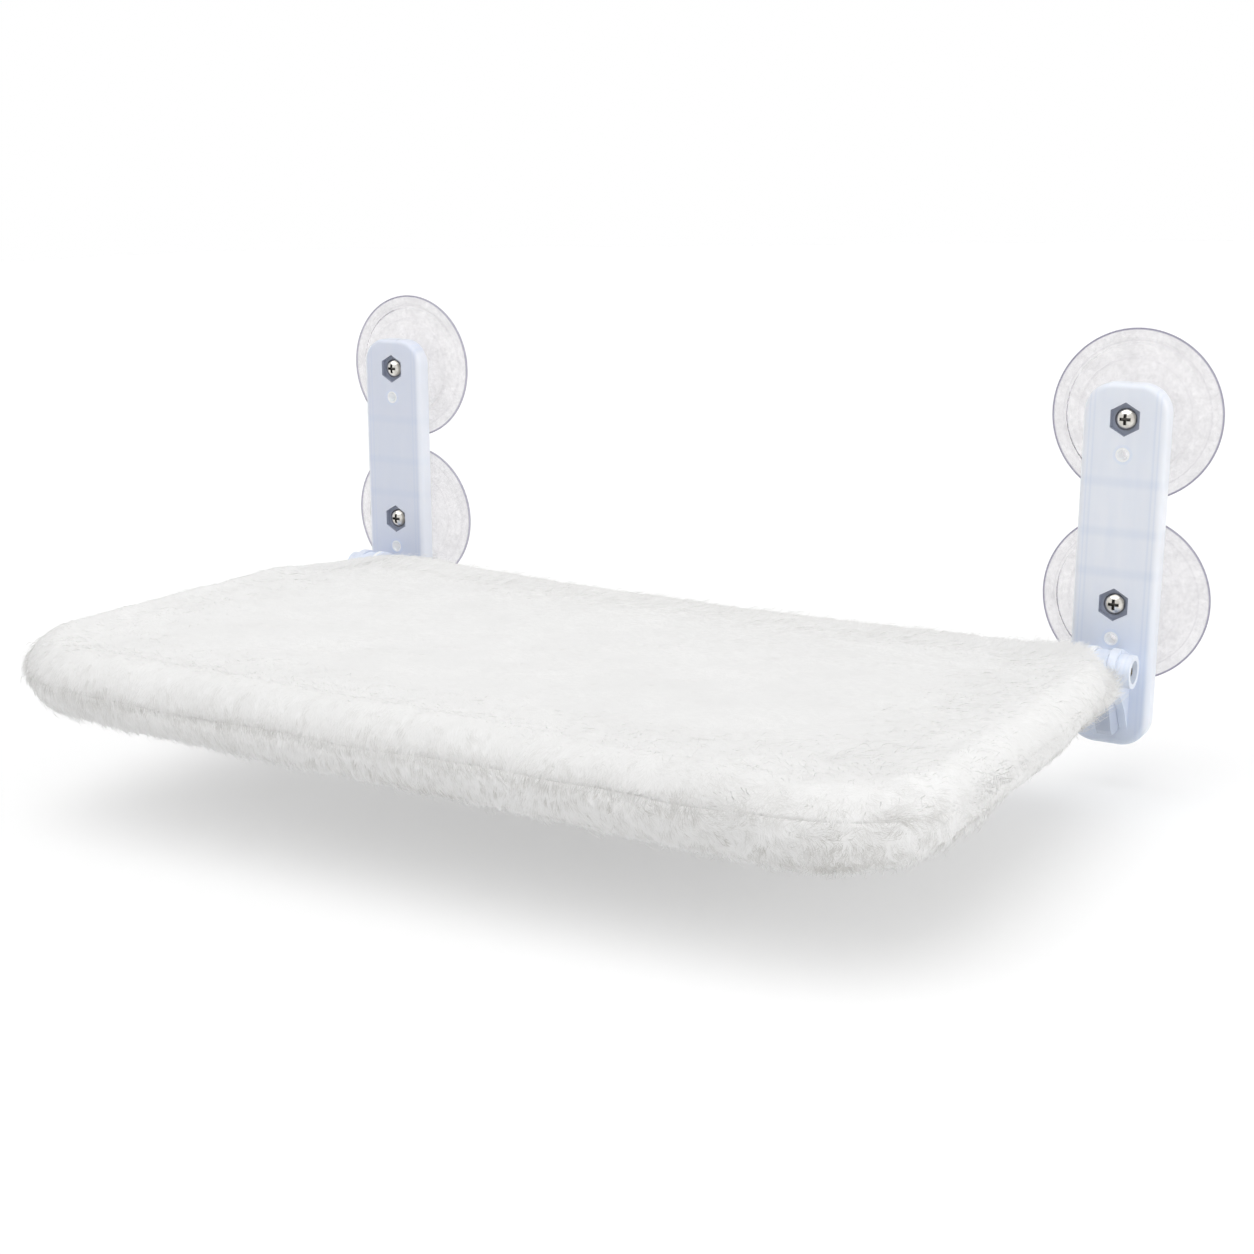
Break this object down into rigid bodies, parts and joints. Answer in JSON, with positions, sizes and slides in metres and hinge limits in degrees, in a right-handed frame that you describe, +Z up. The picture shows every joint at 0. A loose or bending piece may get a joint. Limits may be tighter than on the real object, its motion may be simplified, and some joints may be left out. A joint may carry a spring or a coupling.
{
  "type": "window mounted cat perch",
  "caption": "Plush covered cat bed on a tube frame that folds up on hinge brackets held to a window by suction cups.",
  "frame": {"origin": "on the glass plane, midway between the brackets, level with the fold axis", "axes": "+X along the window, +Y into the glass, +Z up; the bed reaches into the room along -Y"},
  "size_m": [0.538, 0.3285, 0.2079],
  "materials": {
    "bracket_plastic": "satin, faintly translucent pale blue",
    "arm_plastic": "satin, pale blue",
    "cup_vinyl": "clear soft vinyl",
    "plated_steel": "nickel plated",
    "insert_brass": "turned",
    "frame_steel": "powder coated",
    "foam": "open cell foam",
    "sling_cloth": "woven polyester",
    "plush": "short plush pile, off white",
    "tape_cloth": "woven zip tape",
    "zip_metal": "die cast, plated"
  },
  "bodies": {
    "window_mounts": {"bracket_left": "bracket_plastic", "bracket_right": "bracket_plastic", "cup_upper_left": "cup_vinyl", "cup_lower_left": "cup_vinyl", "cup_upper_right": "cup_vinyl", "cup_lower_right": "cup_vinyl", "cup_screws": "plated_steel", "cup_inserts": "insert_brass", "pivot_bolts": "plated_steel", "pivot_nuts": "plated_steel"},
    "bed": {"hinge_arm_left": "arm_plastic", "hinge_arm_right": "arm_plastic", "front_tube": "frame_steel", "rear_tube": "frame_steel", "tube_screws": "plated_steel", "edge_foam": "foam", "support_sling": "sling_cloth", "sleep_pad": "foam", "cover_top": "plush", "cover_bottom": "plush", "zip_tape": "tape_cloth"},
    "zip_slider": {"zip_slider": "zip_metal"},
    "zip_pull": {"zip_pull": "zip_metal"}
  },
  "joints": [
    {"name": "bed_fold", "type": "hinge", "parent": "window_mounts", "child": "bed", "pos_m": [0, -0.039, 0], "axis": [-1, 0, 0], "range_deg": [0, 90]},
    {"name": "zip_travel", "type": "slide", "parent": "bed", "child": "zip_slider", "axis": [1, 0, 0], "range_m": [0, 0.31]},
    {"name": "pull_swing", "type": "hinge", "parent": "zip_slider", "child": "zip_pull", "pos_m": [-0.1552, -0.113, -0.01963], "axis": [0, 1, 0], "range_deg": [-75, 75]}
  ]
}
